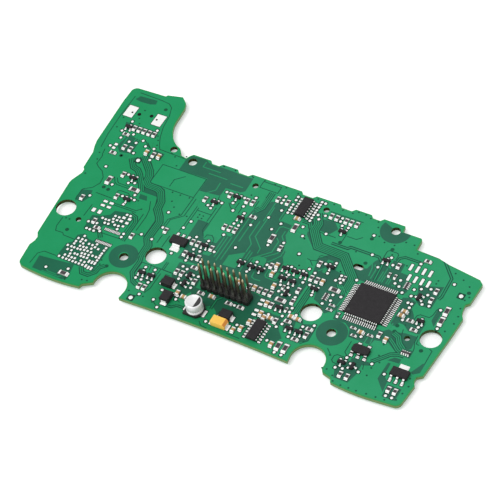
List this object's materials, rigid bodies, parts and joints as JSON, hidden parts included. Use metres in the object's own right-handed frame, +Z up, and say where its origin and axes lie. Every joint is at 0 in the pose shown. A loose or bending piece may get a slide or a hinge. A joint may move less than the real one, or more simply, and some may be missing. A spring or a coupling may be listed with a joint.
{
  "type": "multimedia control board",
  "caption": "Irregular green printed circuit board for a multimedia control panel, populated on one side, with a two-row pin header, a processor, power parts and screw and post holes.",
  "frame": {"origin": "centre of the rectangle of four screw holes, on the board's underside", "axes": "+X along the board's length, +Y towards the straight rear edge with the locating pegs, +Z up out of the populated side"},
  "size_m": [0.1649, 0.0971, 0.0164],
  "materials": {
    "board": "satin",
    "black": "matte",
    "tin": "satin",
    "pins": "satin",
    "can": "satin",
    "tantalum": "satin",
    "chip": "satin",
    "ceramic": "satin"
  },
  "bodies": {
    "root": {"array_bodies": "chip", "array_ends": "tin", "board": "board", "ceramic_capacitor_bodies": "ceramic", "ceramic_capacitor_ends": "tin", "diode_bodies": "black", "diode_terminals": "tin", "driver_body": "black", "driver_leads": "tin", "electrolytic_base": "black", "electrolytic_can": "can", "electrolytic_terminals": "tin", "front_logic_body": "black", "front_logic_leads": "tin", "header_base": "black", "header_pins": "pins", "left_regulator_body": "black", "left_regulator_leads": "tin", "left_regulator_tab": "tin", "power_resistor_bodies": "chip", "power_resistor_ends": "tin", "processor_body": "black", "processor_leads": "tin", "rear_logic_body": "black", "rear_logic_leads": "tin", "resistor_bodies": "chip", "resistor_ends": "tin", "right_regulator_body": "black", "right_regulator_leads": "tin", "right_regulator_tab": "tin", "small_resistor_bodies": "chip", "small_resistor_ends": "tin", "tantalum_body": "tantalum", "tantalum_terminals": "tin", "transistor_bodies": "black", "transistor_leads": "tin"}
  },
  "joints": []
}
